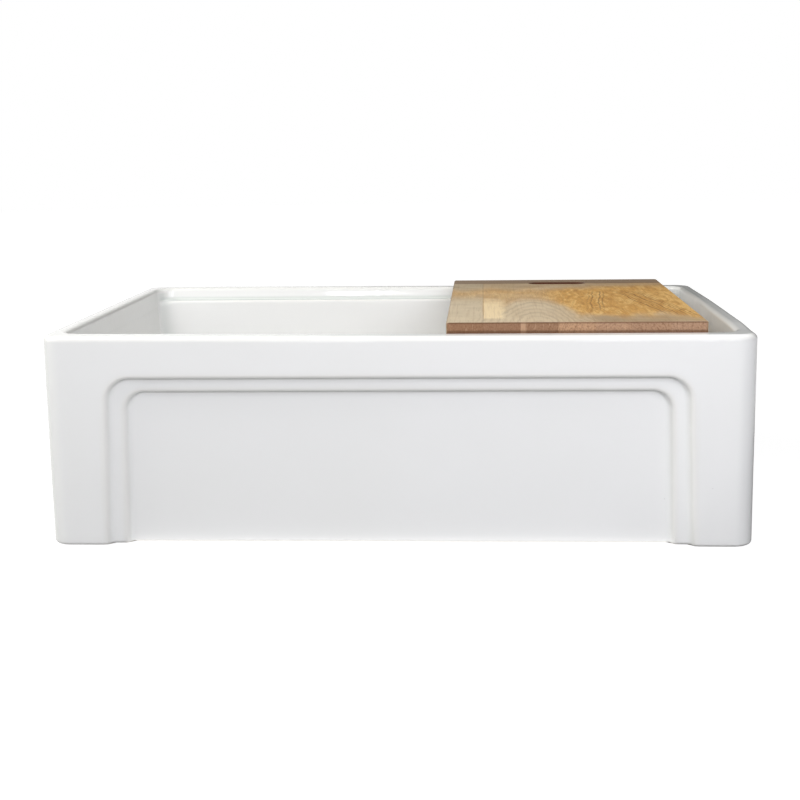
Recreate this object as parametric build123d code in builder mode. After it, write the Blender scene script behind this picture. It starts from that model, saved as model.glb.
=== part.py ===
from build123d import *
import os

# Apron-front kitchen sink of glazed fireclay, with a basket strainer and a cutting board that
# slides along two ledges. Millimetres. The origin is the centre of the base's underside,
# +Z is up, the apron faces -Y and +X is to the right of a person who stands at the sink.

# Basin
sink_width = 838.0
sink_depth = 508.0
sink_height = 254.0
outer_corner = 24.0
base_edge_round = 4.0
end_wall = 22.0
rim_wall = 25.0
rim_outer_round = 8.0
rim_inner_round = 6.0
mouth_corner = 22.0
ledge_drop = 18.0
ledge_width = 14.0
end_shoulder = 1.6
ledge_round = 1.2
bowl_corner = 40.0
wall_draft = 2.0
base_thickness = 26.0
floor_round = 28.0
floor_fall = 3.0
dish_radius = 160.0

# Two-step panel in the apron, open at the bottom between the legs
leg_width = 79.0
rail_height = 50.5
step_depth = 10.0
step_round = 4.0
panel_inset_side = 20.0
panel_inset_top = 16.0
outer_step_corner = 26.0
inner_step_corner = 22.0

# Drain hole, flange seat and the relief under the floor
drain_x = 0.0
drain_y = 0.0
drain_hole_radius = 44.5
relief_radius = 70.0
relief_depth = 8.0
seat_clearance = 1.0

# Strainer body
flange_radius = 57.2
flange_thickness = 2.0
flange_lip_round = 3.0
cup_radius = 42.8
cup_wall = 1.8
cup_depth = 50.0
cup_base = 2.5
cup_base_round = 5.0
spigot_radius = 23.9
spigot_bore = 19.5
spigot_length = 28.0

# Seals and locknut
seal_thickness = 1.2
seal_width = 10.0
gasket_thickness = 3.0
washer_thickness = 1.0
ring_clearance = 0.2
ring_width = 13.0
nut_height = 9.0
nut_wall = 8.0
nut_lug_count = 6
nut_lug_width = 12.0
nut_lug_reach = 6.0
nut_lug_round = 2.0
nut_chamfer = 1.0

# Bridge in the outlet, with the post that the basket rides on
bridge_thickness = 3.0
bridge_rim = 2.8
bridge_ledge = 2.3
bridge_fit = 0.1
bridge_arm_count = 3
bridge_arm_width = 4.0
bridge_hub_radius = 5.5
post_radius = 3.5
post_height = 22.0
post_chamfer = 0.8

# Basket
seat_gap = 0.3
stopper_radius = 30.0
stopper_thickness = 4.0
stopper_round = 1.0
retainer_thickness = 1.6
retainer_width = 5.0
retainer_room = 0.5
retainer_side_gap = 0.5
basket_sheet = 1.2
basket_base_radius = 32.0
basket_top_radius = 37.0
basket_lip = 2.2
basket_height = 36.0
basket_base_round = 3.0
slot_count = 18
slot_width = 3.0
slot_height = 20.0
slot_start = 7.0
inner_hole_count = 8
inner_hole_ring = 15.0
outer_hole_count = 14
outer_hole_ring = 24.0
base_hole_radius = 2.4
stem_radius = 6.0
stem_bore = 4.8
stem_bore_depth = 30.0
stem_fit = 0.1
stem_collar_radius = 9.0
stem_collar_height = 2.0
knob_radius = 9.5
knob_height = 11.0
knob_flare = 3.0
knob_round = 2.5
knob_rise = 3.0
clip_gap = 0.25
clip_length = 12.0
clip_start = 6.0
clip_slit = 1.6
clip_fit = 0.05

# Cutting board
board_width = 306.0
board_thickness = 27.4
board_end_gap = 32.5
board_side_gap = 4.0
board_seat_gap = 0.2
board_corner = 4.0
board_edge_round = 2.0
stave_count = 7
batten_width = 45.0
grip_length = 81.0
grip_width = 25.0
grip_round = 3.0
spline_thickness = 8.0
spline_depth = 8.0
spline_margin = 14.0
spline_fit = 0.1

# Levels and places that follow from the sizes above
through = 1.0
half_width = sink_width / 2
half_depth = sink_depth / 2
ledge_level = sink_height - ledge_drop
mouth_half_width = half_width - end_wall
mouth_half_depth = half_depth - rim_wall
bowl_half_width = mouth_half_width - end_shoulder
bowl_half_depth = mouth_half_depth - ledge_width
front_plane = Plane(origin=(0, -half_depth, 0), x_dir=(1, 0, 0), z_dir=(0, -1, 0))
drain_section = Plane(origin=(drain_x, drain_y, 0), x_dir=(1, 0, 0), z_dir=(0, -1, 0))
drain_axis = Axis((drain_x, drain_y, 0), (0, 0, 1))
flange_top = base_thickness - floor_fall
flange_bottom = flange_top - flange_thickness
seat_level = flange_bottom - seal_thickness
seat_radius = flange_radius + seat_clearance
cup_floor = flange_top - cup_depth
spigot_top = cup_floor - cup_base
spigot_end = spigot_top - spigot_length
cup_bore = cup_radius - cup_wall
bridge_radius = spigot_bore + bridge_ledge
bridge_bottom = cup_floor - bridge_thickness
bridge_seat = bridge_radius + bridge_fit
ring_bore = cup_radius + ring_clearance
gasket_bottom = relief_depth - gasket_thickness
washer_bottom = gasket_bottom - washer_thickness
nut_bottom = washer_bottom - nut_height
nut_radius = ring_bore + nut_wall
stopper_bottom = cup_floor + seat_gap
basket_bottom = stopper_bottom + stopper_thickness
basket_floor = basket_bottom + basket_sheet
basket_top = basket_bottom + basket_height
basket_lip_level = basket_top - basket_sheet
basket_lip_radius = basket_top_radius + basket_lip
retainer_bottom = stopper_bottom + retainer_room
retainer_top = retainer_bottom + retainer_thickness
stem_hole = stem_radius + stem_fit
retainer_radius = stem_hole + retainer_width
retainer_pocket = retainer_radius + retainer_side_gap
stem_bore_top = retainer_bottom + stem_bore_depth
clip_bottom = retainer_bottom + clip_start
knob_top = flange_top + knob_rise
knob_bottom = knob_top - knob_height
board_bottom = ledge_level + board_seat_gap
board_x = mouth_half_width - board_end_gap - board_width / 2
board_depth = 2 * (mouth_half_depth - board_side_gap)
board_plane = Plane(origin=(board_x, 0, board_bottom))
joint_y = board_depth / 2 - batten_width
stave_width = board_width / stave_count
spline_level = board_bottom + board_thickness / 2
spline_start = grip_length / 2 + spline_margin
spline_length = board_width / 2 - spline_margin - spline_start
spline_middle = spline_start + spline_length / 2

os.makedirs("parts", exist_ok=True)


# Basin: block, apron panel, mouth above the ledge, bowl below it, drain
outer_step_half = half_width - leg_width
outer_step_top = sink_height - rail_height
inner_step_half = outer_step_half - panel_inset_side
inner_step_top = outer_step_top - panel_inset_top
band_plane = front_plane.offset(-step_depth)
near = 0.01


def at_depth(edges, depth):
    """The edges of the panel's steps that lie at this depth behind the apron's face."""
    level = depth - half_depth
    inside = edges.filter_by_position(Axis.X, -outer_step_half - near, outer_step_half + near)
    return inside.filter_by_position(Axis.Y, level - near, level + near)


# Cutter for the panel: a plate in front of the apron, and the two steps behind it. The steps
# are centred on the base's front edge, so that they run out through it.
with BuildPart() as panel_cutter:
    with BuildSketch(front_plane):
        Rectangle(sink_width, 2 * sink_height)
    extrude(amount=step_depth)
    with BuildSketch(front_plane):
        RectangleRounded(2 * outer_step_half, 2 * outer_step_top, outer_step_corner)
    extrude(amount=-step_depth)
    with BuildSketch(band_plane):
        RectangleRounded(2 * inner_step_half, 2 * inner_step_top, inner_step_corner)
    extrude(amount=-step_depth)
    step_edges = at_depth(panel_cutter.edges(), 0).sort_by(Axis.Z)[1:-1]
    step_edges += at_depth(panel_cutter.edges(), step_depth)
    step_edges += at_depth(panel_cutter.edges(), 2 * step_depth)
    fillet(step_edges, step_round)

with BuildPart() as basin:
    with BuildSketch(Plane.XY):
        RectangleRounded(sink_width, sink_depth, outer_corner)
    extrude(amount=sink_height)
    fillet(basin.edges().group_by(Axis.Z)[0], base_edge_round)
    add(panel_cutter.part, mode=Mode.SUBTRACT)
    with BuildSketch(Plane.XY.offset(ledge_level)):
        RectangleRounded(2 * mouth_half_width, 2 * mouth_half_depth, mouth_corner)
    extrude(amount=ledge_drop, taper=-wall_draft, mode=Mode.SUBTRACT)
    with BuildSketch(Plane.XY.offset(ledge_level)):
        RectangleRounded(2 * bowl_half_width, 2 * bowl_half_depth, bowl_corner)
    extrude(amount=base_thickness - ledge_level, taper=wall_draft, mode=Mode.SUBTRACT)
    bowl_edges = basin.edges().filter_by_position(Axis.X, -bowl_half_width - near, bowl_half_width + near)
    bowl_edges = bowl_edges.filter_by_position(Axis.Y, -bowl_half_depth - near, bowl_half_depth + near)
    fillet(bowl_edges.filter_by_position(Axis.Z, base_thickness - near, base_thickness + near),
           floor_round)
    fillet(bowl_edges.filter_by_position(Axis.Z, ledge_level - near, ledge_level + near), ledge_round)
    rim = basin.faces().sort_by(Axis.Z)[-1]
    fillet(rim.outer_wire().edges(), rim_outer_round)
    rim = basin.faces().sort_by(Axis.Z)[-1]
    fillet(rim.inner_wires().edges(), rim_inner_round)
    with BuildSketch(drain_section):
        with BuildLine():
            Polyline((0, -through), (relief_radius, -through), (relief_radius, relief_depth),
                     (drain_hole_radius, relief_depth), (drain_hole_radius, seat_level),
                     (seat_radius, seat_level), (seat_radius, flange_top),
                     (dish_radius, base_thickness), (0, base_thickness), close=True)
        make_face()
    revolve(axis=drain_axis, mode=Mode.SUBTRACT)
basin.part.label = "basin"
export_step(basin.part, "parts/basin.step")


# Strainer: body with flange, cup and outlet spigot
with BuildPart() as strainer_body:
    with BuildSketch(drain_section) as section:
        with BuildLine():
            Polyline((spigot_bore, spigot_end), (spigot_radius, spigot_end), (spigot_radius, spigot_top),
                     (cup_radius, spigot_top), (cup_radius, flange_bottom), (flange_radius, flange_bottom),
                     (flange_radius, flange_top), (cup_bore, flange_top), (cup_bore, cup_floor),
                     (bridge_seat, cup_floor), (bridge_seat, bridge_bottom), (spigot_bore, bridge_bottom),
                     close=True)
        make_face()
        corners = section.vertices().filter_by_position(Axis.X, cup_bore - near, cup_radius + near)
        fillet(corners.sort_by(Axis.Y)[:2], cup_base_round)
        lip = section.vertices().sort_by_distance((cup_bore, flange_top))[0]
        fillet(lip, flange_lip_round)
    revolve(axis=drain_axis)
strainer_body.part.label = "strainer_body"
export_step(strainer_body.part, "parts/strainer_body.step")


# Seals under the flange and under the floor, and the nut that clamps them
def flat_ring(inner, outer, bottom, top):
    """A plain ring round the drain's axis."""
    with BuildPart() as ring:
        with BuildSketch(Plane(origin=(drain_x, drain_y, bottom))):
            Circle(outer)
            Circle(inner, mode=Mode.SUBTRACT)
        extrude(amount=top - bottom)
    return ring


flange_seal = flat_ring(flange_radius - seal_width, flange_radius, seat_level, flange_bottom)
flange_seal.part.label = "flange_seal"
export_step(flange_seal.part, "parts/flange_seal.step")

sink_gasket = flat_ring(ring_bore, ring_bore + ring_width, gasket_bottom, relief_depth)
sink_gasket.part.label = "sink_gasket"
export_step(sink_gasket.part, "parts/sink_gasket.step")

friction_washer = flat_ring(ring_bore, ring_bore + ring_width, washer_bottom, gasket_bottom)
friction_washer.part.label = "friction_washer"
export_step(friction_washer.part, "parts/friction_washer.step")

with BuildPart() as locknut:
    with BuildSketch(Plane(origin=(drain_x, drain_y, nut_bottom))):
        Circle(nut_radius)
        with PolarLocations(nut_radius, nut_lug_count):
            RectangleRounded(2 * nut_lug_reach, nut_lug_width, nut_lug_round)
        Circle(ring_bore, mode=Mode.SUBTRACT)
    extrude(amount=nut_height)
    rims = locknut.edges().group_by(Axis.Z)
    chamfer(rims[0].filter_by(GeomType.CIRCLE).sort_by(SortBy.RADIUS)[-nut_lug_count:], nut_chamfer)
locknut.part.label = "locknut"
export_step(locknut.part, "parts/locknut.step")


# Bridge in the outlet: rim, arms, hub and the fixed post
with BuildPart() as outlet_bridge:
    with BuildSketch(Plane(origin=(drain_x, drain_y, bridge_bottom))):
        Circle(bridge_radius)
        Circle(bridge_radius - bridge_rim, mode=Mode.SUBTRACT)
        with PolarLocations(0, bridge_arm_count):
            Rectangle(bridge_radius - bridge_rim / 2, bridge_arm_width, align=(Align.MIN, Align.CENTER))
        Circle(bridge_hub_radius)
    extrude(amount=bridge_thickness)
    with BuildSketch(Plane(origin=(drain_x, drain_y, cup_floor))):
        Circle(post_radius)
    extrude(amount=post_height)
    chamfer(outlet_bridge.edges().group_by(Axis.Z)[-1], post_chamfer)
outlet_bridge.part.label = "outlet_bridge"
export_step(outlet_bridge.part, "parts/outlet_bridge.step")


# Basket: perforated cup, stem with knob, stopper, retainer and the clip in the stem
slot_planes = [Plane(origin=(drain_x, drain_y, basket_bottom + slot_start + slot_height / 2),
                     x_dir=(0, 0, 1),
                     z_dir=Vector(1, 0, 0).rotate(Axis.Z, 360 * number / slot_count))
               for number in range(slot_count)]

with BuildPart() as basket_cup:
    with BuildSketch(drain_section) as section:
        with BuildLine():
            Polyline((stem_hole, basket_bottom), (basket_base_radius, basket_bottom),
                     (basket_top_radius, basket_lip_level), (basket_lip_radius, basket_lip_level),
                     (basket_lip_radius, basket_top), (basket_top_radius - basket_sheet, basket_top),
                     (basket_base_radius - basket_sheet, basket_floor), (stem_hole, basket_floor),
                     close=True)
        make_face()
        outer_corner_point = section.vertices().sort_by_distance((basket_base_radius, basket_bottom))[0]
        fillet(outer_corner_point, basket_base_round)
        inner_corner_point = section.vertices().sort_by_distance(
            (basket_base_radius - basket_sheet, basket_floor))[0]
        fillet(inner_corner_point, basket_base_round - basket_sheet)
    revolve(axis=drain_axis)
    with BuildSketch(*slot_planes):
        SlotOverall(slot_height, slot_width)
    extrude(amount=basket_lip_radius, mode=Mode.SUBTRACT)
    with BuildSketch(Plane(origin=(drain_x, drain_y, basket_bottom))):
        with PolarLocations(inner_hole_ring, inner_hole_count):
            Circle(base_hole_radius)
        with PolarLocations(outer_hole_ring, outer_hole_count):
            Circle(base_hole_radius)
    extrude(amount=basket_sheet, mode=Mode.SUBTRACT)
basket_cup.part.label = "basket_cup"
export_step(basket_cup.part, "parts/basket_cup.step")

with BuildPart() as basket_knob:
    with BuildSketch(drain_section) as section:
        with BuildLine():
            Polyline((0, knob_top), (0, stem_bore_top), (stem_bore, stem_bore_top),
                     (stem_bore, retainer_bottom), (stem_radius, retainer_bottom),
                     (stem_radius, basket_floor), (stem_collar_radius, basket_floor),
                     (stem_collar_radius, basket_floor + stem_collar_height),
                     (stem_radius, basket_floor + stem_collar_height), (stem_radius, knob_bottom),
                     (knob_radius, knob_bottom + knob_flare), (knob_radius, knob_top), close=True)
        make_face()
        knob_corners = section.vertices().filter_by_position(Axis.X, knob_radius - near, knob_radius + near)
        fillet(knob_corners, knob_round)
    revolve(axis=drain_axis)
basket_knob.part.label = "basket_knob"
export_step(basket_knob.part, "parts/basket_knob.step")

with BuildPart() as basket_stopper:
    with BuildSketch(drain_section) as section:
        with BuildLine():
            Polyline((stem_hole, retainer_top), (retainer_pocket, retainer_top),
                     (retainer_pocket, stopper_bottom), (stopper_radius, stopper_bottom),
                     (stopper_radius, basket_bottom), (stem_hole, basket_bottom), close=True)
        make_face()
        rim_point = section.vertices().sort_by_distance((stopper_radius, stopper_bottom))[0]
        fillet(rim_point, stopper_round)
    revolve(axis=drain_axis)
basket_stopper.part.label = "basket_stopper"
export_step(basket_stopper.part, "parts/basket_stopper.step")

stopper_retainer = flat_ring(stem_hole, retainer_radius, retainer_bottom, retainer_top)
stopper_retainer.part.label = "stopper_retainer"
export_step(stopper_retainer.part, "parts/stopper_retainer.step")

with BuildPart() as post_clip:
    with BuildSketch(Plane(origin=(drain_x, drain_y, clip_bottom))):
        Circle(stem_bore - clip_fit)
        Circle(post_radius + clip_gap, mode=Mode.SUBTRACT)
        Rectangle(stem_bore, clip_slit, align=(Align.MIN, Align.CENTER), mode=Mode.SUBTRACT)
    extrude(amount=clip_length)
post_clip.part.label = "post_clip"
export_step(post_clip.part, "parts/post_clip.step")


# Cutting board: one blank with its finger slot and spline grooves, sawn into staves and batten
with BuildPart() as board_blank:
    with BuildSketch(board_plane):
        RectangleRounded(board_width, board_depth, board_corner)
    extrude(amount=board_thickness)
    fillet(board_blank.edges().filter_by(Axis.Z, reverse=True), board_edge_round)
    with BuildSketch(board_plane):
        with Locations((0, joint_y)):
            SlotOverall(grip_length, grip_width)
    extrude(amount=board_thickness, mode=Mode.SUBTRACT)
    grip_faces = board_blank.faces().filter_by(Axis.Z)
    fillet([edge for face in grip_faces for wire in face.inner_wires() for edge in wire.edges()],
           grip_round)
    with Locations(Location((board_x - spline_middle, joint_y, spline_level)),
                   Location((board_x + spline_middle, joint_y, spline_level))):
        Box(spline_length + 2 * spline_fit, 2 * (spline_depth + spline_fit),
            spline_thickness + 2 * spline_fit, mode=Mode.SUBTRACT)

for number in range(stave_count):
    with BuildPart() as stave:
        add(board_blank.part)
        with BuildSketch(board_plane):
            with Locations((number * stave_width - board_width / 2, -board_depth / 2)):
                Rectangle(stave_width, joint_y + board_depth / 2, align=Align.MIN)
        extrude(amount=board_thickness, mode=Mode.INTERSECT)
    stave.part.label = f"board_stave_{number + 1}"
    export_step(stave.part, f"parts/board_stave_{number + 1}.step")

with BuildPart() as end_batten:
    add(board_blank.part)
    with BuildSketch(board_plane):
        with Locations((0, joint_y)):
            Rectangle(board_width, batten_width, align=(Align.CENTER, Align.MIN))
    extrude(amount=board_thickness, mode=Mode.INTERSECT)
end_batten.part.label = "board_end_batten"
export_step(end_batten.part, "parts/board_end_batten.step")

with BuildPart() as board_splines:
    with Locations(Location((board_x - spline_middle, joint_y, spline_level)),
                   Location((board_x + spline_middle, joint_y, spline_level))):
        Box(spline_length, 2 * spline_depth, spline_thickness)
board_splines.part.label = "board_splines"
export_step(board_splines.part, "parts/board_splines.step")
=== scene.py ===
import math

import bmesh
import bpy
import numpy as np
from mathutils import Matrix


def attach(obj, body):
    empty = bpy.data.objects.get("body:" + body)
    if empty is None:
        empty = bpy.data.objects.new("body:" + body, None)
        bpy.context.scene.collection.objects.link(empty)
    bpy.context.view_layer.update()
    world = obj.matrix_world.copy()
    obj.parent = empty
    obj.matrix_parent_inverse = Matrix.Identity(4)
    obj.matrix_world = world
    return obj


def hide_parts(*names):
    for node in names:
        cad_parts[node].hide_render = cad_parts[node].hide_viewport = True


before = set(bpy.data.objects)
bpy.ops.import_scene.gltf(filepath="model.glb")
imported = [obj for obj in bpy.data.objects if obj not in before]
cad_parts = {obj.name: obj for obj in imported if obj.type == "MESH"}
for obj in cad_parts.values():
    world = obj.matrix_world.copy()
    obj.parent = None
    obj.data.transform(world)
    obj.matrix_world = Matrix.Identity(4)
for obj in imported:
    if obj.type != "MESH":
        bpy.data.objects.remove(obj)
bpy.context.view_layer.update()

print("frame loaded:", len(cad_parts), "nodes")

millimetre = 0.001
hair = 1e-6  # in metres, less than any distance that is meant


def gridFaces(grid, closeU, closeV):
    # Quads between neighbours in a grid of points [u, v, xyz]. A closed direction joins its last row to
    # its first.
    rows, cols = grid.shape[:2]
    index = np.arange(rows * cols).reshape(rows, cols)
    index = np.concatenate([index, index[:1]], axis=0) if closeU else index
    index = np.concatenate([index, index[:, :1]], axis=1) if closeV else index
    quads = np.stack([index[:-1, :-1], index[1:, :-1], index[1:, 1:], index[:-1, 1:]], axis=-1)
    return quads.reshape(-1, 4)


def meshFromGrid(name, grid, closeV=True, sharpAngle=40):
    # A grid that is closed in u becomes a mesh. Points that fall together at a pole are merged, and the
    # faces are turned outwards by the sign of the volume that they enclose.
    quads, points = gridFaces(grid, True, closeV), grid.reshape(-1, 3)
    a, b, c, d = (points[quads[:, k]] for k in range(4))
    volume = np.sum(a * np.cross(b, c)) + np.sum(a * np.cross(c, d))
    quads = quads if volume > 0 else quads[:, ::-1]
    mesh = bpy.data.meshes.new(name)
    mesh.from_pydata(points.tolist(), [], quads.tolist())
    if not closeV:
        shape = bmesh.new()
        shape.from_mesh(mesh)
        bmesh.ops.remove_doubles(shape, verts=shape.verts, dist=hair)
        shape.to_mesh(mesh)
        shape.free()
    mesh.shade_smooth()
    mesh.set_sharp_from_angle(angle=math.radians(sharpAngle))
    return mesh


def newObject(name, data):
    made = bpy.data.objects.new(name, data)
    bpy.context.scene.collection.objects.link(made)
    return made


def addPiece(name, mesh, material, body, slot, *nodes):
    piece = newObject(name, mesh)
    mesh.materials.append(material)
    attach(piece, body)
    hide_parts(*nodes)
    return piece


def softProfile(corners, steps=6):
    # corners: rows of radius, height and corner round in millimetres, closed. Each corner becomes a
    # short curve: the quadratic between the two points that lie its round away along both sides.
    corners = np.asarray(corners, float)
    here, rounding = corners[:, :2], corners[:, 2:3]
    before, after = np.roll(here, 1, axis=0), np.roll(here, -1, axis=0)
    toBefore = (before - here) / np.linalg.norm(before - here, axis=1, keepdims=True)
    toAfter = (after - here) / np.linalg.norm(after - here, axis=1, keepdims=True)
    start, end = here + toBefore * rounding, here + toAfter * rounding
    t = np.linspace(0, 1, steps)[None, :, None]
    curve = (1 - t) ** 2 * start[:, None] + 2 * t * (1 - t) * here[:, None] + t ** 2 * end[:, None]
    return curve.reshape(-1, 2)


def refined(profile, spacing, closed=True):
    # the same line with extra points, none further apart than the spacing; a closed line comes back
    # without its first point repeated at the end
    line = np.concatenate([profile, profile[:1]]) if closed else profile
    along = np.concatenate([[0], np.cumsum(np.linalg.norm(np.diff(line, axis=0), axis=1))])
    stations = np.unique(np.concatenate([along, np.arange(0, along[-1], spacing)]).round(5))
    stations = stations[:-1] if closed else stations
    return np.stack([np.interp(stations, along, line[:, k]) for k in range(2)], axis=1)


def turned(profile, turns, swell=None):
    # Surface of revolution about Z: at angle t a profile point (r, z) lies at (r cos t, r sin t, z).
    # swell(r, z, t) is added to the radius, for threads, lugs and uneven edges.
    angle = np.linspace(0, 2 * np.pi, turns, endpoint=False)[:, None]
    radius, height = profile[None, :, 0], profile[None, :, 1]
    radius = radius + (swell(radius, height, angle) if swell else 0 * angle)
    height = height + 0 * angle
    return np.stack([radius * np.cos(angle), radius * np.sin(angle), height], axis=-1) * millimetre


def turnedPiece(name, s, swell, material, body, slot, nodeName, closed=True):
    # a piece turned from its corners; an open profile starts and ends on the axis
    line = refined(softProfile(s["corners"]), s["spacing"], closed)
    mesh = meshFromGrid(name, turned(line, s["turns"], swell), closeV=closed)
    addPiece(name, mesh, material, body, slot, nodeName)


def screw(height, angle, pitch):
    # a single-start thread: 0 to 1 and back once per pitch of height and per turn
    return 0.5 - 0.5 * np.cos(2 * np.pi * (height / pitch - angle / (2 * np.pi)))


def band(value, low, high, soft):
    # 1 between low and high, falling to 0 over the soft distance inside both ends
    rise = np.clip((value - low) / soft, 0, 1) * np.clip((high - value) / soft, 0, 1)
    return rise * rise * (3 - 2 * rise)


def smooth(value, low, high):
    t = np.clip((value - low) / (high - low), 0, 1)
    return t * t * (3 - 2 * t)


def tint(red, green, blue):
    # a screen colour, 0 to 255, as Blender's linear colour
    channel = np.array([red, green, blue]) / 255
    linear = np.where(channel <= 0.04045, channel / 12.92, ((channel + 0.055) / 1.055) ** 2.4)
    return (*linear.tolist(), 1.0)


def tints(colours):
    return {name: tint(*colour) for name, colour in colours.items()}


def connect(tree, value, entry):
    # a signal or a socket is linked to the entry, and anything else becomes its fixed value
    value = getattr(value, "socket", value)
    if isinstance(value, bpy.types.NodeSocket):
        tree.links.new(value, entry)
    else:
        entry.default_value = value


def node(tree, kind, inputs=None, **settings):
    made = tree.nodes.new(kind)
    for key, value in settings.items():
        setattr(made, key, value)
    for key, value in (inputs or {}).items():
        connect(tree, value, made.inputs[key])
    return made


class Signal:
    # a value that varies over a surface; each sum, product and the like adds a node to its tree
    def __init__(self, tree, socket):
        self.tree, self.socket = tree, socket

    def through(self, kind, inputs, output=0, **settings):
        return Signal(self.tree, node(self.tree, kind, inputs, **settings).outputs[output])

    def calc(self, operation, second=0.0):
        return self.through("ShaderNodeMath", {0: self, 1: second}, operation=operation)

    def __add__(self, other):
        return self.calc("ADD", other)

    def __sub__(self, other):
        return self.calc("SUBTRACT", other)

    def __mul__(self, other):
        return self.calc("MULTIPLY", other)

    def __truediv__(self, other):
        return self.calc("DIVIDE", other)

    def spread(self, low, high, toLow=0.0, toHigh=1.0):
        # a smooth step from toLow to toHigh while the value goes from low to high
        inputs = {"Value": self, "From Min": low, "From Max": high, "To Min": toLow, "To Max": toHigh}
        return self.through("ShaderNodeMapRange", inputs, interpolation_type="SMOOTHSTEP")


def signal(tree, made, key=0):
    return Signal(tree, made.outputs[key])


def parts(vector):
    made = node(vector.tree, "ShaderNodeSeparateXYZ", {0: vector})
    return [signal(vector.tree, made, k) for k in range(3)]


def lengthOf(vector):
    return vector.through("ShaderNodeVectorMath", {0: vector}, "Value", operation="LENGTH")


def flatVector(first, second):
    return first.through("ShaderNodeCombineXYZ", {0: first, 1: second})


def mixed(factor, first, second):
    return factor.through("ShaderNodeMix", {0: factor, 6: first, 7: second}, 2, data_type="RGBA")


def layered(colour, *layers):
    # tones laid over a colour in turn, each as far as its mask says
    for mask, tone in layers:
        colour = mixed(mask, colour, tone)
    return colour


def noise(vector, scale, detail=2.0, roughness=0.5, distortion=0.0):
    inputs = {"Vector": vector, "Scale": scale, "Detail": detail, "Roughness": roughness,
              "Distortion": distortion}
    return vector.through("ShaderNodeTexNoise", inputs, "Fac")


def lineNoise(value):
    inputs = {"W": value, "Scale": 1.0, "Detail": 1.0}
    return value.through("ShaderNodeTexNoise", inputs, "Fac", noise_dimensions="1D")


def stretched(vector, scales):
    return vector.through("ShaderNodeVectorMath", {0: vector, 1: scales}, operation="MULTIPLY")


def streaks(vector, scales, *shape):
    # noise with its own scale along each axis
    return noise(stretched(vector, scales), 1.0, *shape)


def bump(height, strength, distance):
    inputs = {"Height": height, "Strength": strength, "Distance": distance}
    return height.through("ShaderNodeBump", inputs, "Normal")


def emptyMaterial(name):
    material = bpy.data.materials.new(name)
    material.use_nodes = True
    material.node_tree.nodes.clear()
    return material, material.node_tree


def objectPlace(tree):
    return signal(tree, node(tree, "ShaderNodeTexCoord"), "Object")


def newMaterial(name, constants):
    material, tree = emptyMaterial(name)
    shader = node(tree, "ShaderNodeBsdfPrincipled", constants)
    node(tree, "ShaderNodeOutputMaterial", {"Surface": shader.outputs[0]})
    return material, shader, objectPlace(tree)


def feed(shader, colour, roughness, normal):
    for label, value in (("Base Color", colour), ("Roughness", roughness), ("Normal", normal)):
        connect(value.tree, value, shader.inputs[label])


def newGroup(name, inputs, outputs):
    group = bpy.data.node_groups.new(name, "ShaderNodeTree")
    for label in inputs:
        kind = "NodeSocketVector" if label == "Vector" else "NodeSocketFloat"
        group.interface.new_socket(label, in_out="INPUT", socket_type=kind)
    for label in outputs:
        group.interface.new_socket(label, in_out="OUTPUT", socket_type="NodeSocketFloat")
    source = node(group, "NodeGroupInput")
    return group, [signal(group, source, label) for label in inputs]


def useGroup(group, place, inputs=None):
    made = node(place.tree, "ShaderNodeGroup", {"Vector": place, **(inputs or {})}, node_tree=group)
    return {output.name: Signal(place.tree, output) for output in made.outputs}


def makeMottle():
    # two sizes of soft noise: large patches and fine grain, both 0 to 1
    group, (place, patchScale, grainScale) = newGroup(
        "mottle", ("Vector", "Patch Scale", "Grain Scale"), ("Patch", "Grain"))
    patch, grain = noise(place, patchScale, 3.0, 0.55), noise(place, grainScale, 2.0, 0.6)
    node(group, "NodeGroupOutput", {"Patch": patch, "Grain": grain})
    return group


def makeTurnedLines():
    # noise that depends on radius and height alone, so that it makes fine rings as left by a lathe
    group, (place, fineness) = newGroup("turnedLines", ("Vector", "Fineness"), ("Lines", "Scuffs"))
    x, y, z = parts(place)
    lines = noise(flatVector(lengthOf(flatVector(x, y)), z), fineness, 3.0, 0.7)
    node(group, "NodeGroupOutput", {"Lines": lines, "Scuffs": noise(place, 90.0, 4.0, 0.65)})
    return group


def makeWoodFigure():
    # Growth rings of a plain-sawn board: the ring number grows along Y, with the square of the distance
    # from the pith's line and with height, so a flat face shows pointed arches that open to the front.
    # Rings wander, and differ in width and darkness. Pores are short streaks and fibre long ones along
    # Y, curl is a soft ripple across the grain, and cloud is a slow drift of tone.
    group, (place, pith, opening, rings) = newGroup(
        "woodFigure", ("Vector", "Pith", "Spread", "Rings"), ("Ring", "Pore", "Fibre", "Curl", "Cloud"))
    x, y, z = parts(place)
    slow = stretched(place, (1.0, 0.30, 1.0))
    curl = streaks(place, (34.0, 75.0, 34.0), 2.0, 0.5, 0.6)
    sideways = x - pith + (noise(slow, 20.0) * 0.030 - 0.015)
    reach = y + (z * 2.2 + sideways * sideways / opening) + curl * 0.036 + noise(slow, 60.0) * 0.050
    count = reach * rings + lineNoise(reach * 9.0) * 3.0
    saw, darkness = count.calc("FRACT"), lineNoise(count.calc("FLOOR") * 0.71)
    ring = saw.spread(0.35, 0.90) * saw.spread(1.0, 0.90) * darkness.spread(0.30, 0.66, 0.12, 1.0)
    pore = streaks(place, (950.0, 30.0, 950.0), 2.0, 0.6).spread(0.57, 0.74)
    fibre = streaks(place, (380.0, 10.0, 380.0), 3.0, 0.6)
    node(group, "NodeGroupOutput", {"Ring": ring, "Pore": pore, "Fibre": fibre, "Curl": curl,
                                    "Cloud": noise(slow, 16.0, 3.0, 0.55)})
    return group


slotSize = {"middle": (0.2115, 0.180), "halfLine": 0.028, "halfWidth": 0.0125, "fade": (0.0026, 0.0008)}


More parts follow.
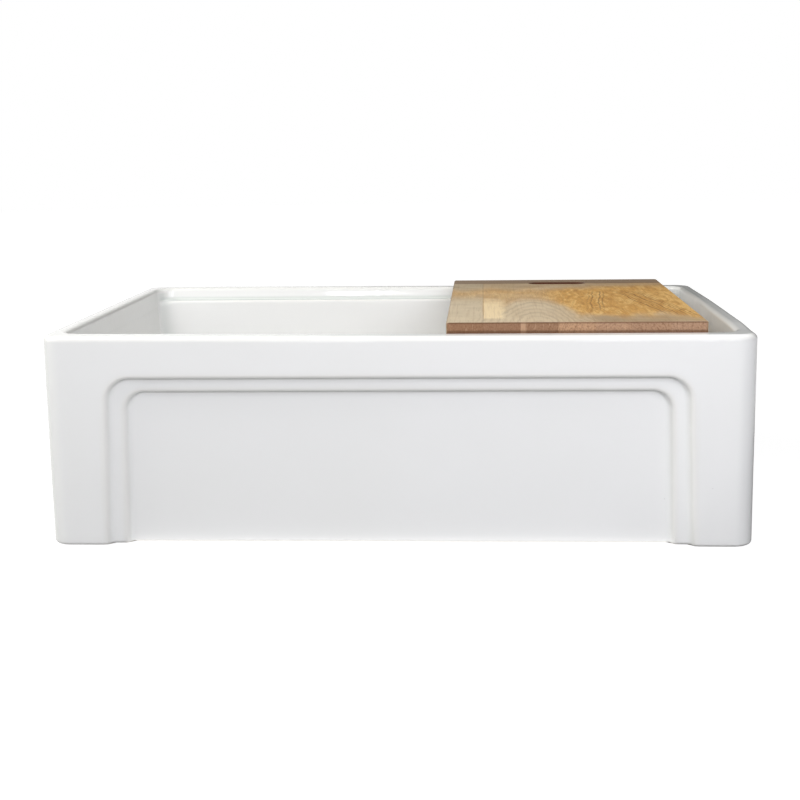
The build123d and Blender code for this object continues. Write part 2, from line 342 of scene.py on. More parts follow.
def makeSlotShadeMask(s):
    # 1 on the walls and inner edge of the board's finger slot, where painted shade goes: the distance from
    # the slot's middle line is compared with its half width
    group, (place,) = newGroup("slotShadeMask", ("Vector",), ("Cut",))
    x, y = parts(place)[:2]
    along = ((x - s["middle"][0]).calc("ABSOLUTE") - s["halfLine"]).calc("MAXIMUM", 0.0)
    away = y - s["middle"][1]
    distance = (along * along + away * away).calc("SQRT")
    cut = distance.spread(*(s["halfWidth"] + edge for edge in s["fade"]))
    node(group, "NodeGroupOutput", {"Cut": cut})
    return group


mottle, turnedLines, woodFigure = makeMottle(), makeTurnedLines(), makeWoodFigure()
slotShadeMask = makeSlotShadeMask(slotSize)
print("shared effects ready")


# Metres. A trio is half width, half depth and corner radius; a step is half width, top, corner radius and
# flare at the foot; the spokes turn an outline's stations into directions on a circle.
basinSize = {
    "halfWidth": 0.419, "halfDepth": 0.254, "height": 0.254, "corner": 0.024,
    "baseRound": 0.004, "rimOuterRound": 0.008, "rimInnerRound": 0.006,
    "mouth": (0.397, 0.229, 0.022), "bowl": (0.3954, 0.215, 0.040), "ledge": 0.236,
    "ledgeRound": (0.0012, 0.004, 0.004), "ledgeHollow": (0.0003, 0.0045, 0.0045),
    "draft": math.radians(2.0), "floor": 0.026, "floorRound": 0.028, "dish": 0.160, "flangeTop": 0.023,
    "seat": 0.0582, "seatLevel": 0.0198, "hole": 0.0445, "relief": 0.070, "reliefDepth": 0.008,
    "eased": 0.0012, "undersideInset": 0.06, "undersideCorner": 0.04, "undersideRing": 0.1,
    "footInset": 0.03, "footCorner": 0.02, "spokes": (0.352, 0.175, 0.02),
    "outerStep": (0.340, 0.2020, 0.026, 0.0070), "innerStep": (0.320, 0.1851, 0.022, 0.0045),
    "stepDepth": 0.008, "sideRounds": (0.005, 0.006), "topRounds": (0.0046, 0.0010),
    "sideSlope": math.radians(65), "topSlope": math.radians(84),
    # heights of the wall's stations: the first run's top and count, finer runs at the steps' upper
    # edges (start, stop, spacing), and the last run's start and count
    "wallFoot": (0.150, 25), "wallHead": (0.2100, 9),
    "wallRuns": [(0.1515, 0.1815, 0.0015), (0.1825, 0.1922, 0.0004), (0.1932, 0.1992, 0.0012),
                 (0.1998, 0.2088, 0.0004)],
    "sideFlush": 0.150, "squareFrom": 0.206, "squareFade": (0.100, 0.170), "ledgeAtSide": (0.2445, 0.2265),
    # unevenness from the kiln; a sag is its fall, the x that it grows between and the distance to its side
    "waver": 0.0005, "rimWaver": 0.6, "sagAbove": 0.004, "rimSkin": 1e-4,
    "frontSag": (0.0020, (-0.419, 0.05), (0.15, 0.22)), "backSag": (0.0022, (-0.30, 0.419), (0.05, 0.24)),
    # where glaze runs thin and pools, and the painted shade in the bowl's corners and along the ledge: reach
    # from a step's edge, heights over floor and ledge, shares
    "glazeLip": 0.0055, "shadeFrom": 0.0005, "ledgeShade": (0.0065, 0.0010), "ledgeShadeShare": 1.4,
    "stepShare": 0.25, "mostGlazeMark": 1.8,
}
# stations round the outline: the part of the front that is dense at the panel's side edges (start, stop,
# spacing), the front's half length, and the counts
outlineSteps = {"dense": (0.290, 0.3485, 0.0008), "halfFront": 0.395, "frontMiddle": 26, "frontEnd": 9,
                "side": 30, "back": 72, "corner": 16}


def stepProfile(inside, depth, slope, rounds):
    # Depth of a step by the distance inside its outline: nothing outside, then a convex arc that turns
    # to the slope, a straight riser whose middle lies on the outline, and a hollow arc to full depth.
    outerRound, innerRound = rounds
    outerReach, innerReach = outerRound * np.sin(slope), innerRound * np.sin(slope)
    outerDepth = outerRound * (1 - np.cos(slope))
    riser = (depth - outerDepth - innerRound * (1 - np.cos(slope))) / np.tan(slope)
    fromStart = np.clip(inside + riser / 2 + outerReach, 0, outerReach)
    toEnd = np.clip(riser / 2 + innerReach - inside, 0, innerReach)
    outer = outerRound - np.sqrt(outerRound ** 2 - fromStart ** 2)
    inner = depth - innerRound + np.sqrt(innerRound ** 2 - toEnd ** 2)
    straight = outerDepth + (inside + riser / 2) * np.tan(slope)
    return np.where(inside < -riser / 2, outer, np.where(inside > riser / 2, inner, straight))


def insidePanel(x, z, half, top, corner, flare):
    # Distance inside a panel that is open at the bottom, a little wider there, with rounded upper
    # corners, and how far its nearest edge is a side edge (1) or the top edge (0).
    side, rise = np.abs(x) - (half - corner) - flare * (1 - z / top), z - (top - corner)
    toSide, toTop = np.maximum(side, 0), np.maximum(rise, 0)
    inside = corner - np.hypot(toSide, toTop) - np.minimum(np.maximum(side, rise), 0)
    return inside, toSide ** 2 / (toSide ** 2 + toTop ** 2 + 1e-9)


def roundTheOutline(o):
    # Stations round the outline, counterclockwise from the front left. Each has a place on the
    # straight sides (sx, sy) and a direction (nx, ny), so that an outline of half sizes a and b and
    # corner radius r has its point at sx (a - r) + nx r, sy (b - r) + ny r.
    first, last, spacing = o["dense"]
    half = np.concatenate([np.linspace(0, first, o["frontMiddle"])[:-1], np.arange(first, last, spacing),
                           np.linspace(last, o["halfFront"], o["frontEnd"])])
    front = np.concatenate([-half[:0:-1], half]) / o["halfFront"]
    side = np.sin(np.linspace(-np.pi / 2, np.pi / 2, o["side"]))
    back = np.linspace(1, -1, o["back"])
    turn = np.linspace(0, np.pi / 2, o["corner"])[1:-1]
    runs = []
    for sx, sy, nx, ny, endX, endY in ((front, -1, 0, -1, 1, -1), (1, side, 1, 0, 1, 1),
                                       (back, 1, 0, 1, -1, 1), (-1, -side, -1, 0, -1, -1)):
        arc = math.atan2(ny, nx) + turn
        runs.append(np.stack(np.broadcast_arrays(sx, sy, nx, ny), axis=1))
        runs.append(np.stack(np.broadcast_arrays(endX, endY, np.cos(arc), np.sin(arc)), axis=1))
    return np.concatenate(runs).T


def basinSection(s):
    # Stations along the closed section, from the drain hole under the floor, out to the base, up the
    # outside, over the rim, down the mouth, ledge and bowl, and over the floor to the flange's seat.
    # Columns: half width a, half depth b, corner r, height z, roundness c (0 outline, 1 circle),
    # circle radius, share of the apron's steps, outer wall, bowl wall, convex edge, hollow edge.
    tan, ring, eased = math.tan(s["draft"]), s["dish"], s["eased"]
    rows = []

    def at(trio, level, circle=None):
        # a station's first six columns: an outline, or a circle where a radius is given
        return (*trio, level, 0, ring) if circle is None else (*trio, level, 1, circle)

    def line(start, end, count, steps=0, outer=0, bowl=0):
        t = np.linspace(0, 1, count, endpoint=False)[:, None]
        values = np.asarray(start) * (1 - t) + np.asarray(end) * t
        marks = np.tile([steps, outer, bowl, 0.0, 0.0], (count, 1))
        rows.append(np.concatenate([values, marks], axis=1))

    def arc(trio, level, radii, low, high, count, steps=0, outer=0, bowl=0, convex=1):
        # trio and level: the arc's middle; radii: its reach along a, b and z
        phi = np.radians(np.linspace(low, high, count, endpoint=False))[:, None]
        a, b, r = trio
        values = np.concatenate([a + radii[0] * np.cos(phi), b + radii[1] * np.cos(phi),
                                 r + radii[1] * np.cos(phi), level + radii[2] * np.sin(phi),
                                 0 * phi, ring + 0 * phi], axis=1)
        fade = np.sin((np.arange(count) + 0.5) / count * np.pi)[:, None]
        marks = np.tile([steps, outer, bowl], (count, 1))
        rows.append(np.concatenate([values, marks, fade * convex, fade * (1 - convex)], axis=1))

    shell = np.array([s["halfWidth"], s["halfDepth"], s["corner"]])
    mouth, well = np.array(s["mouth"]), np.array(s["bowl"])
    base, outerRound, innerRound = s["baseRound"], s["rimOuterRound"], s["rimInnerRound"]
    top, ledge = s["height"], s["ledge"]
    # drain hole and relief under the floor
    under = (*(shell[:2] - s["undersideInset"]), s["undersideCorner"])
    deep, relief, inner = s["reliefDepth"], s["relief"], s["undersideRing"]
    line(at(under, s["seatLevel"] - eased, s["hole"]), at(under, deep + eased, s["hole"]), 4)
    line(at(under, deep, s["hole"] + eased), at(under, deep, relief - eased), 5)
    line(at(under, deep - eased, relief), at(under, eased, relief), 4)
    line(at(under, 0, relief + eased), at(under, 0, inner), 3)
    line(at(under, 0, inner), (*under, 0, 0, inner), 5)
    line(at(under, 0), at((*(shell[:2] - base - s["footInset"]), s["footCorner"]), 0), 2)
    # outside and rim
    arc(shell - base, base, (base,) * 3, -90, 0, 7, steps=1, outer=1)
    footTop, footCount = s["wallFoot"]
    headFrom, headCount = s["wallHead"]
    heights = np.concatenate([np.linspace(base, footTop, footCount),
                              *(np.arange(*run) for run in s["wallRuns"]),
                              np.linspace(headFrom, top - outerRound, headCount)[:-1]])
    wall = np.tile([*shell, 0, 0, ring, 1, 1, 0, 0, 0], (len(heights), 1)).astype(float)
    wall[:, 3] = heights
    rows.append(wall)
    arc(shell - outerRound, top - outerRound, (outerRound,) * 3, 0, 90, 11, outer=1)
    widened = mouth + tan * (top - ledge)
    line(at(shell - outerRound, top), at(widened + innerRound, top), 4, outer=1)
    arc(widened + innerRound, top - innerRound, (innerRound,) * 3, 90, 180, 9)
    # mouth, ledge and bowl
    hollow, soft = np.array(s["ledgeHollow"]), np.array(s["ledgeRound"])
    line(at(widened, top - innerRound), at(mouth, ledge + hollow[2]), 4)
    arc(mouth - hollow, ledge + hollow[2], hollow, 0, -90, 7, convex=0)
    line(at(mouth - hollow, ledge), at(well + soft, ledge), 3)
    arc(well + soft, ledge - soft[2], soft, 90, 178, 7)
    floor, floorRound = s["floor"], s["floorRound"]
    middle = well - (ledge - floor - floorRound) * tan - floorRound / math.cos(s["draft"])
    foot = middle + floorRound * math.cos(s["draft"])
    footLevel = floor + floorRound - floorRound * math.sin(s["draft"])
    line(at(well - soft[2] * tan, ledge - soft[2]), at(foot, footLevel), 14, bowl=1)
    arc(middle, floor + floorRound, (floorRound,) * 3, -2, -90, 11, bowl=1, convex=0)
    # floor, dish and seat
    flangeTop, seat, seatLevel = s["flangeTop"], s["seat"], s["seatLevel"]
    line(at(middle, floor), at(middle, floor, ring), 7)
    line(at(middle, floor, ring), at(middle, flangeTop, seat + eased), 8)
    line(at(middle, flangeTop - eased, seat), at(middle, seatLevel + eased, seat), 3)
    line(at(middle, seatLevel, seat - eased), at(middle, seatLevel, s["hole"] + eased / 2), 4)
    return np.concatenate(rows).T


def makeBasin(s):
    # Every section station is an outline (or a circle near the drain) at its own height. On the
    # outer wall the front is pushed in by the panel's two steps, both walls waver a little, always
    # into the clay, and the rim hangs a little to the right, as it does after the kiln.
    sx, sy, nx, ny = (values[:, None] for values in roundTheOutline(outlineSteps))
    section = (values[None, :] for values in basinSection(s))
    a, b, r, z, c, ring, steps, outer, bowl, convex, hollow = section
    inside, mouthTop = (outer < 0.5) & (c < 0.5), s["height"] - s["rimInnerRound"]
    # At the ends the wall runs flush from the rim past the ledge's level: there its half width changes
    # evenly, and the ledge's stations are spread over a little height. Down to the square part's fade
    # the bowl's corners are ellipses that all start at one line on the end walls.
    upperEnd, lowerEnd = s["ledgeAtSide"]
    flush = inside & (z < mouthTop + hair) & (z > s["sideFlush"])
    onLedge = flush & (z < upperEnd) & (z > lowerEnd)
    first, last = np.flatnonzero(onLedge[0])[[0, -1]]
    share = (np.arange(z.shape[1]) - first)[None, :] / (last - first)
    sideLevel = np.where(onLedge, upperEnd * (1 - share) + lowerEnd * share, z)
    first, last = np.flatnonzero(flush[0])[[0, -1]]
    share = (z[0, first] - sideLevel) / (z[0, first] - z[0, last])
    a = np.where(flush, a[0, first] * (1 - share) + a[0, last] * share, a)
    square = smooth(z, *s["squareFade"]) * inside * (z < s["ledge"] + hair)
    deep = r + (b - s["squareFrom"] - r) * square
    z = z + (sideLevel - z) * nx ** 2
    x, y = sx * (a - r) + nx * r, sy * (b - deep) + ny * deep
    spokeX, spokeY, spokeTurn = s["spokes"]
    theta = np.arctan2(sy * spokeY + ny * spokeTurn, sx * spokeX + nx * spokeTurn)
    x = x * (1 - c) + ring * np.cos(theta) * c
    y = y * (1 - c) + ring * np.sin(theta) * c
    frontal = np.clip(-ny, 0, 1) * (sy < 0) * steps
    gaps = [insidePanel(x, z, *s[step]) for step in ("outerStep", "innerStep")]
    for gap, sideways in gaps:
        rounds = [low + (high - low) * sideways for low, high in zip(s["topRounds"], s["sideRounds"])]
        slope = s["topSlope"] + (s["sideSlope"] - s["topSlope"]) * sideways
        y = y + stepProfile(gap, s["stepDepth"], slope, rounds) * frontal
    slow = (0.5 + 0.28 * np.sin(17 * x + 9 * z + 0.7) * np.cos(13 * y + 5 * z)
            + 0.22 * np.sin(31 * y - 23 * z + 11 * x))
    give = s["waver"] * slow * (outer - bowl)
    x, y = x - nx * give, y - ny * give
    hang = 0
    for side, (fall, grows, near) in ((-1, s["frontSag"]), (1, s["backSag"])):
        hang = hang + fall * smooth(x, *grows) * smooth(side * y, *near)
    hang = hang * smooth(z, s["ledge"] + s["sagAbove"], s["height"])
    z = z - s["waver"] * s["rimWaver"] * slow * outer * (z > s["height"] - s["rimSkin"]) - hang
    mesh = meshFromGrid("basinShell", np.stack([x, y, z], axis=-1), sharpAngle=60)

    def nearEdges(offset):
        # bell curves across both steps' outlines, moved outwards by the offset
        bells = [np.exp(-((gap + offset) / s["glazeLip"]) ** 2 * 2) for gap, sideways in gaps]
        return sum(bells) * frontal

    # glaze is thin on convex edges and pools in hollow ones; the bowl's corners and the ledge get painted
    # shade;
    # 27/4 brings the peak of u u (1 - u) to 1
    stepEdge, stepHollow = nearEdges(s["glazeLip"] / 2), nearEdges(-s["glazeLip"] / 2)
    convex, hollow = (mark * (1 - onLedge * nx ** 2) for mark in (convex, hollow))
    inWall = inside & (z > s["floor"] + s["shadeFrom"]) & (z < mouthTop)
    # painted shade down the bowl's corners
    cornerShade = 27 / 4 * nx ** 4 * (1 - nx ** 2) * inWall
    # painted shade along the ledge and in its hollow
    ledgeShade = smooth(z, *(s["ledge"] + rise for rise in s["ledgeShade"])) * ny ** 2
    ledgeShade = ledgeShade * inWall * (z > s["ledge"] - hair)
    poolAndShade = hollow + s["stepShare"] * stepHollow + cornerShade + s["ledgeShadeShare"] * ledgeShade
    for name, values in (("thinGlaze", convex + stepEdge), ("pooledGlazeAndShade", poolAndShade)):
        values = np.clip(values + 0 * x, 0, s["mostGlazeMark"]).astype(np.float32)
        mesh.attributes.new(name, "FLOAT", "POINT").data.foreach_set("value", values.ravel())
    return mesh


# the pooled tone serves both glaze pooling and the painted shade in the bowl's corners and along the ledge
glazeTones = tints({"dull": (243, 243, 240), "clear": (247, 247, 246), "thin": (233, 230, 222),
                    "poolAndShade": (214, 218, 214), "pinhole": (150, 146, 136), "clayDark": (206, 194, 172),
                    "clayPale": (224, 214, 196)})


def makeGlaze(tone):
    material, shader, place = newMaterial("whiteGlaze", {"IOR": 1.52})
    spots = useGroup(mottle, place, {"Patch Scale": 5.0, "Grain Scale": 160.0})
    thin, poolAndShade = (place.through("ShaderNodeAttribute", {}, "Fac", attribute_name=name)
                    for name in ("thinGlaze", "pooledGlazeAndShade"))
    # a few pinholes, far apart
    cells = place.through("ShaderNodeTexVoronoi", {"Vector": place, "Scale": 26.0}, "Distance")
    pinhole = cells.spread(0.022, 0.012) * spots["Patch"].spread(0.56, 0.62)
    # bare clay under the base, where it stood in the kiln
    level = parts(place)[2]
    bare = (spots["Grain"] * 0.0012 + level).spread(0.0016, 0.0008)
    clay = mixed(spots["Grain"], tone["clayDark"], tone["clayPale"])
    # the pooled mark: glaze pooling in hollows, and painted shade in the bowl's corners and along the ledge
    colour = layered(tone["dull"], (spots["Patch"], tone["clear"]), (thin * 0.35, tone["thin"]),
                     (poolAndShade * 0.50, tone["poolAndShade"]), (pinhole * 0.5, tone["pinhole"]), (bare, clay))
    gloss = bare * 0.75 + (thin * 0.05 + (spots["Patch"] * 0.04 + 0.035))
    peel = spots["Grain"] * 0.25 + noise(place, 34.0)
    feed(shader, colour, gloss.calc("MINIMUM", 1.0), bump(peel, 0.10, 0.002))
    return material


whiteGlaze = makeGlaze(glazeTones)
basinPiece = addPiece("basinShell", makeBasin(basinSize), whiteGlaze, "root", "fireclay_glaze", "basin")
print("basin:", len(basinPiece.data.polygons), "faces")


def makeMetal(name, light, dark, fineness, rough, relief):
    # rough: the least roughness, and what scuffs and turned lines add to it
    material, shader, place = newMaterial(name, {"Metallic": 1.0})
    marks = useGroup(turnedLines, place, {"Fineness": fineness})
    gloss = marks["Lines"] * rough[2] + (marks["Scuffs"] * rough[1] + rough[0])
    colour = mixed(marks["Scuffs"], tint(*dark), tint(*light))
    feed(shader, colour, gloss, bump(marks["Lines"], relief, 0.0004))
    return material


def makeDull(name, light, dark, patchScale, grainScale, rough, relief):
    material, shader, place = newMaterial(name, {})
    spots = useGroup(mottle, place, {"Patch Scale": patchScale, "Grain Scale": grainScale})
    colour = mixed(spots["Grain"] * 0.5 + spots["Patch"] * 0.5, tint(*dark), tint(*light))
    feed(shader, colour, spots["Patch"] * 0.2 + rough, bump(spots["Grain"], relief, 0.0006))
    return material


polishedSteel = makeMetal("polishedSteel", (222, 222, 219), (186, 187, 187), 2600.0,
                          (0.10, 0.14, 0.12), 0.10)
pressedSteel = makeMetal("pressedSteel", (216, 217, 215), (176, 177, 178), 1500.0,
                         (0.14, 0.18, 0.12), 0.12)
castBrass = makeMetal("castBrass", (206, 172, 98), (160, 124, 62), 700.0, (0.26, 0.24, 0.10), 0.25)
blackRubber = makeDull("blackRubber", (52, 52, 53), (26, 26, 27), 40.0, 1400.0, 0.55, 0.25)
plumbersPutty = makeDull("plumbersPutty", (206, 198, 180), (172, 160, 138), 60.0, 500.0, 0.62, 0.5)
pressedFibre = makeDull("pressedFibre", (186, 154, 112), (132, 100, 66), 120.0, 1100.0, 0.75, 0.5)

# the drain's sizes are in millimetres; a corner is radius, height and round
strainerSize = {
    "corners": [(19.5, -57.5, 0.5), (23.9, -57.5, 0.8), (23.9, -29.5, 0.8), (42.8, -29.5, 5.0),
                (42.8, 21.0, 0.4), (57.2, 21.0, 0.3), (57.2, 23.0, 0.8), (41.0, 23.0, 3.0),
                (41.0, -27.0, 5.0), (21.9, -27.0, 0.3), (21.9, -30.0, 0.2), (19.5, -30.0, 0.2)],
    "spacing": 0.42, "turns": 112, "pitch": 2.1, "threadDepth": 0.55, "threadFade": 2.0,
    # threads: least and greatest radius of the wall that they are cut in, foot and head
    "threads": [(42.5, 43.1, -23.0, 15.0), (23.6, 24.2, -55.0, -33.0)],
}


def strainerThread(radius, height, angle):
    # the radius falls by the thread's depth on the outside of the cup and of the spigot
    s = strainerSize
    cut = sum((radius > least) * (radius < most) * band(height, foot, head, s["threadFade"])
              for least, most, foot, head in s["threads"])
    return -s["threadDepth"] * screw(height, angle, s["pitch"]) * cut


turnedPiece("strainerBody", strainerSize, strainerThread, polishedSteel, "root", "stainless_steel",
            "strainer_body")

knobSize = {
    "corners": [(0.0, 26.0, 0.0), (9.5, 26.0, 2.4), (9.5, 18.0, 2.4), (6.0, 15.0, 1.2), (6.0, -19.5, 0.6),
                (9.0, -19.5, 0.6), (9.0, -21.5, 0.3), (6.0, -21.5, 0.2), (6.0, -26.2, 0.3),
                (4.8, -26.2, 0.3), (4.8, 3.8, 0.6), (0.0, 3.8, 0.0)],
    "spacing": 0.5, "turns": 72, "grooves": (19.2, 21.8), "grooveDepth": 0.35, "grooveFrom": 9.0,
}


def knobGrooves(radius, height, angle):
    # two shallow finger grooves round the knob
    s = knobSize
    low, high = s["grooves"]
    wave = 0.5 - 0.5 * np.cos(2 * np.pi * (height - low) / (high - low) * 2)
    inside = (height > low) * (height < high) * (radius > s["grooveFrom"])
    return -s["grooveDepth"] * wave * inside + 0 * angle


turnedPiece("basketKnob", knobSize, knobGrooves, polishedSteel, "basket", "stainless_steel", "basket_knob",
            closed=False)

nutSize = {
    "corners": [(43.0, -5.0, 0.6), (51.0, -5.0, 1.0), (51.0, 4.0, 0.6), (43.0, 4.0, 0.6)],
    "spacing": 0.5, "turns": 360, "lugs": 6, "lugHalf": 6.0, "lugReach": 6.0, "lugEdge": 2.2,
    "lugRadius": 54.0, "lugFrom": (46.0, 50.0), "pitch": 2.1, "threadDepth": 0.5, "bore": 43.2,
    "thread": (-4.6, 3.6, 0.8),
}


def nutLugs(radius, height, angle):
    # Six lugs swell the outer wall: a lug is full while the arc from its middle is under its half
    # width. The bore has the strainer's thread, cut outwards.
    s = nutSize
    step = 2 * np.pi / s["lugs"]
    arcAway = np.abs((angle + step / 2) % step - step / 2) * s["lugRadius"]
    lug = smooth(arcAway, s["lugHalf"], s["lugHalf"] - s["lugEdge"]) * smooth(radius, *s["lugFrom"])
    cut = screw(height, angle, s["pitch"]) * (radius < s["bore"]) * band(height, *s["thread"])
    return lug * s["lugReach"] + s["threadDepth"] * cut


turnedPiece("locknutRing", nutSize, nutLugs, castBrass, "root", "nut_brass", "locknut")

ringSizes = {
    "flangeSeal": {"inner": 47.2, "outer": 57.2, "bottom": 19.8, "top": 21.0, "edge": 0.45, "uneven": 0.35,
                   "material": plumbersPutty, "slot": "putty", "node": "flange_seal"},
    "sinkGasket": {"inner": 43.0, "outer": 56.0, "bottom": 5.0, "top": 8.0, "edge": 0.8, "uneven": 0.12,
                   "material": blackRubber, "slot": "black_rubber", "node": "sink_gasket"},
    "frictionWasher": {"inner": 43.0, "outer": 56.0, "bottom": 4.0, "top": 5.0, "edge": 0.15, "uneven": 0.05,
                       "material": pressedFibre, "slot": "fibre", "node": "friction_washer"},
}


def makeRing(name, s):
    # a flat ring with eased edges; its outer edge wanders inwards by the uneven amount
    ends = ((s["inner"], s["bottom"]), (s["outer"], s["bottom"]),
            (s["outer"], s["top"]), (s["inner"], s["top"]))
    profile = {"corners": [(*end, s["edge"]) for end in ends], "spacing": 1.0, "turns": 128}

    def uneven(radius, height, angle):
        drift = 0.5 + 0.3 * np.sin(5 * angle + 0.4) + 0.2 * np.sin(13 * angle + 1.9)
        return -s["uneven"] * drift * smooth(radius, s["inner"] + 1, s["outer"])

    turnedPiece(name, profile, uneven, s["material"], "root", s["slot"], s["node"])


for ringName, ringSize in ringSizes.items():
    makeRing(ringName, ringSize)

stopperSize = {
    "corners": [(6.1, -24.6, 0.2), (11.6, -24.6, 0.3), (11.6, -26.7, 0.3), (30.0, -26.7, 1.2),
                (30.0, -22.7, 0.6), (6.1, -22.7, 0.2)],
    "spacing": 0.8, "turns": 96,
}
turnedPiece("basketStopper", stopperSize, None, blackRubber, "basket", "black_rubber", "basket_stopper")

for steelNode in ("basket_cup", "outlet_bridge", "stopper_retainer", "post_clip"):
    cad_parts[steelNode].material_slots[0].material = pressedSteel
print("drain pieces ready")


boardSize = {"left": 0.0585, "width": 0.306, "staves": 7, "front": -0.225, "joint": 0.180, "top": 0.2636}
woodTones = tints({
    "gold": (212, 162, 88), "goldDark": (138, 88, 40), "goldPale": (240, 198, 126),
    "goldLine": (98, 58, 26), "pale": (250, 226, 182), "washedPale": (224, 206, 176),
    "washedDark": (148, 126, 98), "backShade": (124, 96, 64), "pore": (104, 70, 40), "joint": (92, 64, 44),
    "slot": (40, 20, 12), "slotPale": (92, 50, 28), "batten": (140, 119, 96), "battenDark": (98, 78, 60),
    "ray": (206, 170, 138), "endDark": (112, 76, 52), "endFoot": (78, 50, 34)})
# one tone for each stave, from the left: the washed top and the end grain
staveTones = {name: [tint(*colour) for colour in row] for name, row in {
    "washed": [(192, 175, 146), (196, 172, 136), (198, 174, 140), (196, 170, 134), (192, 165, 130),
               (190, 163, 127), (194, 167, 130)],
    "end": [(152, 115, 87), (154, 118, 91), (157, 122, 94), (190, 152, 119), (180, 144, 115),
            (173, 138, 110), (178, 144, 117)]}.items()}
# places on the board in metres: the oval of the washed arch (middle x, middle y, half width, half length),
# the leaning line figures (lean, first, last, front, back) and the pale strip (left, right, front, back)
woodZones = {"arch": (0.163, -0.330, 0.056, 0.296), "flow": (0.18, 0.284, 0.338, -0.200, 0.095),
             "wavy": (-0.09, 0.238, 0.270, -0.150, 0.095), "pale": (0.1024, 0.1260, -0.192, -0.010),
             "goldFront": (-0.215, -0.140), "goldBack": (0.095, 0.140)}
woodGlaze = {"IOR": 1.47, "Specular IOR Level": 0.3}


def perStave(across, tones):
    # one tone for each stave, changing at the joints
    made = node(across.tree, "ShaderNodeValToRGB", {"Fac": across})
    made.color_ramp.interpolation = "CONSTANT"
    elements = made.color_ramp.elements
    for extra in range(len(tones) - len(elements)):
        elements.new(0.5)
    for k, (element, tone) in enumerate(zip(elements, tones)):
        element.position, element.color = k / len(tones), tone
    return signal(across.tree, made, "Color")


def oval(x, y, middleX, middleY, halfWidth, halfLength):
    # 0 in the middle of an oval, 1 on its line and more outside
    across, along = (x - middleX) / halfWidth, (y - middleY) / halfLength
    return (across * across + along * along).calc("SQRT")


def thinLines(value, perUnit, waver):
    # thin lines at even steps of a value, each with its own darkness
    count = value * perUnit + waver
    saw, darkness = count.calc("FRACT"), lineNoise(count.calc("FLOOR") * 0.73)
    return saw.spread(0.42, 0.84) * saw.spread(1.0, 0.88) * darkness.spread(0.32, 0.56, 0.20, 1.0)


def leaning(x, y, lean, first, last, front, back):
    # a line number that leans with Y, and the patch of board where its figure shows
    place = y * lean + x
    across = place.spread(first, first + 0.012) * place.spread(last, last - 0.012)
    return place, across * (y.spread(front, front + 0.07) * y.spread(back, back - 0.05))


def finishWood(shader, place, figure, colour, rough, relief):
    # painted shade on the finger slot's walls, and pores that are dull and sunken
    tone, cut = woodTones, useGroup(slotShadeMask, place)["Cut"]
    colour = mixed(cut, colour, mixed(figure["Fibre"], tone["slot"], tone["slotPale"]))
    gloss = figure["Pore"] * 0.14 + (figure["Cloud"] * 0.16 + rough)
    feed(shader, colour, gloss, bump(relief, 0.35, 0.0003))


